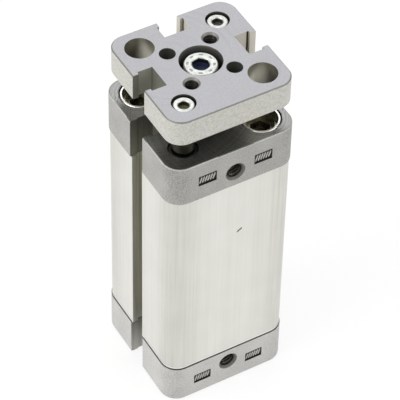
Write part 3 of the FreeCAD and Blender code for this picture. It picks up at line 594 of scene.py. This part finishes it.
def makeZincFinish(node, look):    # plated head, with painted shade in its key socket
    own = zincLooks[node]
    low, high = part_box(node)
    top = high[2] / mm if node != "piston_screw" else low[2] / mm
    centre = middleOf(node)
    material, tree, shader = newFinish(node + "Zinc", look["metallic"], look["roughness"])
    place = placeInMm(tree)
    rings = useGroup(tree, turnedRings, {"Place": place, "Centre": centre, "Rings per mm": look["perMm"]})
    grain = useGroup(tree, blastGrain, {"Place": place, "Grains per mm": look["perMm"],
                                        "Cloud per mm": look["cloudPerMm"]})
    tone = calc(tree, "MULTIPLY", calc(tree, "ADD", rings["Rings"], grain["Cloud"]), look["dullShare"])
    base = blendColours(tree, tone, look["bright"], look["dull"])
    # painted shade on the socket walls, then the deeper tone further down
    for part in ("socket", "deep"):
        sunk = sunkMask(tree, place, centre, own["keyRadius"], top, look[part + "Depth"],
                        look[part + "Soft"])
        base = blendColours(tree, sunk, base, own[part])
    tree.links.new(base, shader.inputs["Base Color"])
    rough = roughnessFrom(tree, grain["Cloud"], look["roughness"], look["roughSpread"])
    tree.links.new(rough, shader.inputs["Roughness"])
    addBump(tree, shader, rings["Rings"], look["bumpMm"])
    return material


collarLook = {
    "rim": colour(212, 211, 206), "rimDull": colour(186, 185, 178), "cup": colour(172, 168, 144),
    "cupDark": colour(56, 54, 40), "deep": colour(92, 88, 72), "metallic": 0.85, "roughness": 0.26,
    "rimInner": 4.5, "cupDepth": 0.15, "deepRadius": 2.6, "deepDepth": 3.9, "deepSoft": 0.2,
    "ringsPerMm": 2.3, "grainsPerMm": 3.0, "cloudPerMm": 0.35, "bumpMm": 0.006, "rimShare": 0.5,
    "cupShare": 0.5, "roughSpread": (0.05, 0.1),
}


def makeCollarFinish(node, look):
    low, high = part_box(node)
    top = high[2] / mm if node.startswith("front") else low[2] / mm
    centre = middleOf(node)
    material, tree, shader = newFinish(node + "Zinc", look["metallic"], look["roughness"])
    place = placeInMm(tree)
    rings = useGroup(tree, turnedRings, {"Place": place, "Centre": centre,
                                         "Rings per mm": look["ringsPerMm"]})
    cloud = useGroup(tree, blastGrain, {"Place": place, "Grains per mm": look["grainsPerMm"],
                                        "Cloud per mm": look["cloudPerMm"]})
    onRim = calc(tree, "MULTIPLY", rings["Rings"], look["rimShare"])
    base = blendColours(tree, onRim, look["rim"], look["rimDull"])
    tone = calc(tree, "MULTIPLY", calc(tree, "ADD", rings["Rings"], cloud["Cloud"]), look["cupShare"])
    # in the cup the dark olive is partly the zinc's yellow tint and partly painted shade, and the light
    # rings are painted reflections; deep is painted shade further down
    inCup = sunkMask(tree, place, centre, look["rimInner"], top, look["cupDepth"])
    base = blendColours(tree, inCup, base, blendColours(tree, tone, look["cup"], look["cupDark"]))
    inDeep = sunkMask(tree, place, centre, look["deepRadius"], top, look["deepDepth"], look["deepSoft"])
    base = blendColours(tree, inDeep, base, look["deep"])
    tree.links.new(base, shader.inputs["Base Color"])
    rough = roughnessFrom(tree, rings["Rings"], look["roughness"], look["roughSpread"])
    tree.links.new(rough, shader.inputs["Roughness"])
    addBump(tree, shader, rings["Rings"], look["bumpMm"])
    return material


rodLook = {
    # the two dark tones after steel and shade paint the shade on the rod's end under the plate
    "steel": colour(178, 177, 170), "shade": colour(142, 141, 133), "oil": colour(76, 75, 66),
    "oilDark": colour(46, 45, 38), "oilDeep": 6.5, "fade": 16.0, "roughness": 0.18,
    "linesPerMm": 6.0, "grainsPerMm": 2.0, "cloudPerMm": 0.3, "unevenMm": 1.5, "bumpMm": 0.003,
    "lineShare": 0.5, "cloudShare": 0.2, "roughSpread": (0, 0.12),
}


def makeRodFinish(name, look):    # ground round the rod, so its lines run level; painted shade at the plate's end
    material, tree, shader = newFinish(name, 1.0, look["roughness"])
    place = placeInMm(tree)
    height = axes(tree, place)[2]
    lines = put(tree, "ShaderNodeTexNoise", {"W": height, "Scale": look["linesPerMm"], "Detail": 3.0},
                noise_dimensions="1D")
    grain = useGroup(tree, blastGrain, {"Place": place, "Grains per mm": look["grainsPerMm"],
                                        "Cloud per mm": look["cloudPerMm"]})
    tone = calc(tree, "ADD", calc(tree, "MULTIPLY", lines.outputs["Fac"], look["lineShare"]),
                calc(tree, "MULTIPLY", grain["Cloud"], look["cloudShare"]))
    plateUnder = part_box("yoke_plate")[0][2] / mm
    edge = calc(tree, "ADD", height, calc(tree, "MULTIPLY", grain["Cloud"], look["unevenMm"]))
    plateShadowFrom = plateUnder - look["oilDeep"]
    # painted shade on the rod's end under the plate, with an uneven lower boundary
    plateShadow = remap(tree, edge, plateShadowFrom - look["fade"], plateShadowFrom, smooth=True)
    clean = blendColours(tree, tone, look["steel"], look["shade"])
    oil = blendColours(tree, tone, look["oil"], look["oilDark"])
    tree.links.new(blendColours(tree, plateShadow, clean, oil), shader.inputs["Base Color"])
    rough = roughnessFrom(tree, grain["Cloud"], look["roughness"], look["roughSpread"])
    tree.links.new(rough, shader.inputs["Roughness"])
    addBump(tree, shader, lines.outputs["Fac"], look["bumpMm"])
    return material


plainLooks = {    # first tone, second tone, metallic, roughness, grains per mm, bump in mm
    "bronzeBush": (colour(168, 132, 84), colour(120, 88, 52), 1.0, 0.40, 6.0, 0.010),
    "sealRubber": (colour(40, 40, 42), colour(24, 24, 26), 0.0, 0.55, 3.0, 0.008),
    "wiperPolymer": (colour(46, 46, 42), colour(30, 30, 27), 0.0, 0.50, 3.0, 0.006),
    "pistonAlloy": (colour(200, 199, 196), colour(168, 168, 166), 0.9, 0.35, 3.0, 0.006),
    "magnetCompound": (colour(52, 50, 50), colour(30, 29, 30), 0.1, 0.60, 5.0, 0.012),
}
plainSpread = (0.05, 0.1)
plainCloudPerMm = 0.4


def makePlainFinish(name, look):
    first, second, metallic, roughness, grains, bumpMm = look
    material, tree, shader = newFinish(name, metallic, roughness)
    grain = useGroup(tree, blastGrain, {"Place": placeInMm(tree), "Grains per mm": grains,
                                        "Cloud per mm": plainCloudPerMm})
    tone = calc(tree, "MULTIPLY", calc(tree, "ADD", grain["Grain"], grain["Cloud"]), 0.5)
    tree.links.new(blendColours(tree, tone, first, second), shader.inputs["Base Color"])
    tree.links.new(roughnessFrom(tree, grain["Cloud"], roughness, plainSpread), shader.inputs["Roughness"])
    addBump(tree, shader, grain["Grain"], bumpMm)
    return material


def dress(node, material):    # a CAD node keeps its shape and gets the finish in its slots
    for slot in nodes[node].material_slots:
        slot.material = material
    if not nodes[node].material_slots:
        nodes[node].data.materials.append(material)


def middleOf(node):
    low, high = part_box(node)
    return ((low[0] + high[0]) / 2 / mm, (low[1] + high[1]) / 2 / mm, 0.0)


def dressAll():
    dress("yoke_plate", makePlateFinish(plateLook))
    dress("barrel", makeBarrelFinish(barrelLook))
    for cap in ("bearing_cap", "end_cap"):
        dress(cap, makeCapFinish(cap, capLook))
    rodFinish = makeRodFinish("groundSteel", rodLook)
    plain = {name: makePlainFinish(name, look) for name, look in plainLooks.items()}
    for node in nodes:
        if "collar_screw" in node:
            dress(node, makeCollarFinish(node, collarLook))
        elif node.endswith("_screw") or node.startswith("guide_screw"):
            dress(node, makeZincFinish(node, zincLook))
        elif node.startswith("guide_rod") or node == "piston_rod":
            dress(node, rodFinish)
        elif "bush" in node:
            dress(node, plain["bronzeBush"])
        elif "wiper" in node:
            dress(node, plain["wiperPolymer"])
        elif node == "magnet_ring":
            dress(node, plain["magnetCompound"])
        elif node == "piston":
            dress(node, plain["pistonAlloy"])
        elif node not in ("yoke_plate", "barrel", "bearing_cap", "end_cap"):
            dress(node, plain["sealRubber"])


dressAll()
print("nodes dressed")


def gridPiece(name, points, body, material, closeU=True, capEnds=False):
    # points is a grid (u, v, xyz) in mm: u runs round, v along. The ends may be closed onto their middles
    rows, columns = points.shape[:2]
    index = np.arange(rows * columns).reshape(rows, columns)
    first = index if closeU else index[:-1]
    second = np.roll(index, -1, axis=0) if closeU else index[1:]
    quads = np.stack([first[:, :-1], second[:, :-1], second[:, 1:], first[:, 1:]], axis=-1).reshape(-1, 4)
    mesh = bpy.data.meshes.new(name)
    mesh.from_pydata((points.reshape(-1, 3) * mm).tolist(), [], quads.tolist())
    finishMesh(mesh, capEnds)
    piece = bpy.data.objects.new(name, mesh)
    bpy.context.scene.collection.objects.link(piece)
    mesh.materials.append(material)
    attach(piece, body)


def finishMesh(mesh, capEnds):    # doubles merged, open ends filled, normals turned outwards
    work = bmesh.new()
    work.from_mesh(mesh)
    bmesh.ops.remove_doubles(work, verts=work.verts, dist=1e-7)
    if capEnds:
        bmesh.ops.holes_fill(work, edges=[edge for edge in work.edges if edge.is_boundary], sides=0)
    bmesh.ops.recalc_face_normals(work, faces=work.faces)
    work.to_mesh(mesh)
    work.free()
    mesh.polygons.foreach_set("use_smooth", np.ones(len(mesh.polygons), dtype=bool))


threadLook = {"depth": 0.30, "roundSteps": 40, "pitchSteps": 8, "gap": 0.012, "wall": 0.03, "fade": 0.6,
              "crestGain": 1.6, "crestCut": 0.3}
threadSizes = {    # mm: how far in the ridges start, their pitch and length, and a screw's bore radius
    "port": {"sunk": 1.1, "pitch": 0.8, "length": 4.6},
    "tapped": {"sunk": 0.6, "pitch": 0.7, "length": 6.0},
    "screw": {"sunk": 6.3, "pitch": 0.8, "length": 8.0, "radius": 2.1},
}
threadFinishes = {    # as in plainLooks; the port, tapped and screw tones are dark as painted shade inside the bores
    "port": (colour(92, 91, 84), colour(44, 43, 40), 0.75, 0.30, 4.0, 0.006),
    "tapped": (colour(66, 65, 60), colour(34, 33, 30), 0.75, 0.32, 4.0, 0.006),
    "screw": (colour(120, 112, 90), colour(84, 77, 58), 0.8, 0.32, 4.0, 0.006),
    "mark": (colour(206, 205, 200), colour(170, 169, 164), 0.35, 0.45, 4.0, 0.010),
    "tick": (colour(168, 171, 166), colour(124, 127, 123), 0.4, 0.5, 6.0, 0.004),
}


def threadSleeve(name, start, along, radius, size, body, material, look=threadLook):
    # a thin sleeve lining a bore; inside, radius = bore - depth x pitch x crest, where the crest is a
    # flat-topped saw of (distance / pitch - angle / whole turn), and it fades out at both ends
    pitch = size["pitch"]
    length = size["length"]
    angle = np.linspace(0, 2 * np.pi, look["roundSteps"], endpoint=False)[:, None]
    steps = int(length / pitch * look["pitchSteps"])
    run = np.linspace(0, length, steps)[None, :]
    phase = (run / pitch - angle / (2 * np.pi)) % 1.0
    crest = np.clip(look["crestGain"] * (1 - np.abs(2 * phase - 1)) - look["crestCut"], 0, 1)
    fade = np.clip(np.minimum(run, length - run) / (look["fade"] * pitch), 0, 1)
    outer = radius - look["gap"]
    inside = outer - look["wall"] - look["depth"] * pitch * crest * fade
    profile = np.concatenate([inside, np.full((look["roundSteps"], 2), outer), inside[:, :1]], axis=1)
    runs = np.concatenate([run, [[length, 0.0]], run[:, :1]], axis=1) + 0 * angle
    axis = np.array(along, float)
    side = np.array([1.0, 0, 0])
    other = np.cross(axis, side)
    points = (np.array(start, float) + runs[..., None] * axis
              + (profile * np.cos(angle))[..., None] * side + (profile * np.sin(angle))[..., None] * other)
    gridPiece(name, points, body, material)


def makeThreads(finishes):
    port, tapped, screw = [threadSizes[name] for name in ("port", "tapped", "screw")]
    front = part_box("bearing_cap")[0][1] / mm
    for name in ("front_port", "rear_port"):
        place = mmOf(mounts[name]["pos_m"])
        start = (place[0], front + port["sunk"], place[2])
        threadSleeve(name + "_thread", start, (0, 1, 0), mounts[name]["dims"]["r_mm"], port,
                     "housing", finishes["port"])
    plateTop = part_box("yoke_plate")[1][2] / mm
    for name in ("plate_thread_left", "plate_thread_right"):
        place = mmOf(mounts[name]["pos_m"])
        start = (place[0], place[1], plateTop - tapped["sunk"])
        threadSleeve(name + "_ridges", start, (0, 0, -1), mounts[name]["dims"]["r_mm"], tapped,
                     "yoke", finishes["tapped"])
    for node in nodes:
        if "collar_screw" in node:
            low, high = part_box(node)
            middle = middleOf(node)
            isFront = node.startswith("front")
            face = high[2] / mm if isFront else low[2] / mm
            inward = -1 if isFront else 1
            start = (middle[0], middle[1], face + inward * screw["sunk"])
            threadSleeve(node + "_thread", start, (0, 0, inward), screw["radius"], screw,
                         "housing", finishes["screw"])


markLook = {
    "floor": 0.35, "height": 0.26, "count": 6, "apart": 0.74, "lean": 0.62, "tall": 1.75, "band": 0.19,
    "steps": 9, "sectionSteps": 16, "roundness": 0.6, "endWidth": 0.55,
}


def markRib(name, middle, look, finish):
    # a leaning raised rib: with t from -1 to 1 along it, x = lean x t / 2 and z = tall x t / 2. Its section
    # is a rounded block, from a power of cosine and sine, and narrows at both ends with (1 - t^8)
    t = np.linspace(-1, 1, look["steps"])[None, :]
    v = np.linspace(0, 2 * np.pi, look["sectionSteps"], endpoint=False)[:, None]
    long = math.hypot(look["lean"], look["tall"])
    ends = look["endWidth"] + (1 - look["endWidth"]) * (1 - t ** 8)
    spread = look["band"] * ends * np.sign(np.cos(v)) * np.abs(np.cos(v)) ** look["roundness"]
    rise = look["height"] * np.sign(np.sin(v)) * np.abs(np.sin(v)) ** look["roundness"]
    x = middle[0] + look["lean"] * t / 2 + spread * look["tall"] / long
    z = middle[2] + look["tall"] * t / 2 - spread * look["lean"] / long
    y = middle[1] - rise + 0 * t
    gridPiece(name, np.stack([x, y, z], axis=-1), "housing", finish, capEnds=True)


def makeMarks(finish, look):    # plain leaning ribs in the recesses: nothing to read
    for cap in ("bearing_cap", "end_cap"):
        low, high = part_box(cap)
        isFront = cap == "bearing_cap"
        level = high[2] / mm - capLook["markInset"] if isFront else low[2] / mm + capLook["markInset"]
        depth = low[1] / mm + look["floor"]
        for side, word in ((-1, "left"), (1, "right")):
            for number in range(look["count"]):
                offset = (number - (look["count"] - 1) / 2) * look["apart"]
                middle = (side * capLook["markSpread"] + offset, depth, level)
                markRib(cap + "_rib_" + word + str(number), middle, look, finish)


tickLook = {"count": 8, "radius": 3.3, "half": (0.52, 0.32), "height": 0.03, "turn": 0.25, "sunk": 0.004,
            "steps": (7, 5)}


def makeTicks(finish, look):
    # small low pads round the head: each is a pillow, height x (1 - u^4) x (1 - v^4) over its half sizes
    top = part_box("rod_screw")[1][2] / mm
    u = np.linspace(-1, 1, look["steps"][0])[:, None]
    v = np.linspace(-1, 1, look["steps"][1])[None, :]
    for number in range(look["count"]):
        turn = look["turn"] + 2 * np.pi * number / look["count"]
        along = u * look["half"][0] + 0 * v
        away = look["radius"] + v * look["half"][1] + 0 * u
        x = away * np.cos(turn) - along * np.sin(turn)
        y = away * np.sin(turn) + along * np.cos(turn)
        z = top - look["sunk"] + look["height"] * (1 - u ** 4) * (1 - v ** 4)
        points = np.stack([x, y, z], axis=-1)
        gridPiece("rod_screw_tick" + str(number), points, "yoke", finish,
                  closeU=False, capEnds=True)


def makePieces():
    finishes = {name: makePlainFinish(name + "Thread", look) for name, look in threadFinishes.items()}
    makeThreads(finishes)
    makeMarks(finishes["mark"], markLook)
    makeTicks(finishes["tick"], tickLook)


makePieces()
print("threads, ribs and pads made")


def throughLens(tree):    # 1 for camera, glossy and transmission rays
    path = put(tree, "ShaderNodeLightPath")
    seen = calc(tree, "MAXIMUM", path.outputs["Is Camera Ray"], path.outputs["Is Glossy Ray"])
    return calc(tree, "MAXIMUM", seen, path.outputs["Is Transmission Ray"])


floorLook = {"half": 3.0, "tone": (0.93, 0.93, 0.92, 1.0), "glow": 0.8, "drop": 0.0002}


def makeFloor(look):
    reach = look["half"]
    mesh = bpy.data.meshes.new("floor")
    corners = [(-reach, -reach, -look["drop"]), (reach, -reach, -look["drop"]),
               (reach, reach, -look["drop"]), (-reach, reach, -look["drop"])]
    mesh.from_pydata(corners, [], [(0, 1, 2, 3)])
    floor = bpy.data.objects.new("floor", mesh)
    bpy.context.scene.collection.objects.link(floor)
    material = bpy.data.materials.new("paleFloor")
    material.use_nodes = True
    tree = material.node_tree
    tree.nodes.clear()
    matt = put(tree, "ShaderNodeBsdfDiffuse", {"Color": look["tone"]})
    glow = put(tree, "ShaderNodeEmission", {"Color": (1, 1, 1, 1), "Strength": 1.0})
    mixed = put(tree, "ShaderNodeMixShader", {0: calc(tree, "MULTIPLY", throughLens(tree), look["glow"]),
                                              1: matt.outputs[0], 2: glow.outputs[0]})
    put(tree, "ShaderNodeOutputMaterial", {"Surface": mixed.outputs[0]})
    floor.data.materials.append(material)


skyLook = {"high": (0.98, 0.98, 0.99, 1.0), "level": (0.20, 0.20, 0.19, 1.0), "strength": 0.85,
           "levelUpTo": 0.05, "fullFrom": 0.5}


def makeSky(look):    # a light tent, bright above and dim towards the horizon
    world = bpy.data.worlds.new("studio")
    bpy.context.scene.world = world
    world.use_nodes = True
    tree = world.node_tree
    tree.nodes.clear()
    direction = put(tree, "ShaderNodeTexCoord").outputs["Generated"]
    height = axes(tree, direction)[2]
    rise = remap(tree, height, look["levelUpTo"], look["fullFrom"])
    tent = blendColours(tree, rise, look["level"], look["high"])
    studio = put(tree, "ShaderNodeBackground", {"Color": tent, "Strength": look["strength"]})
    plain = put(tree, "ShaderNodeBackground", {"Color": (1, 1, 1, 1), "Strength": 1.0})
    mixed = put(tree, "ShaderNodeMixShader", {0: throughLens(tree), 1: studio.outputs[0],
                                              2: plain.outputs[0]})
    put(tree, "ShaderNodeOutputWorld", {"Surface": mixed.outputs[0]})


placeCamera(cameraLook)
placeLamps(lampSettings, cameraLook["aim"])
makeFloor(floorLook)
makeSky(skyLook)
bpy.context.scene.view_settings.view_transform = "Standard"
print("studio made")
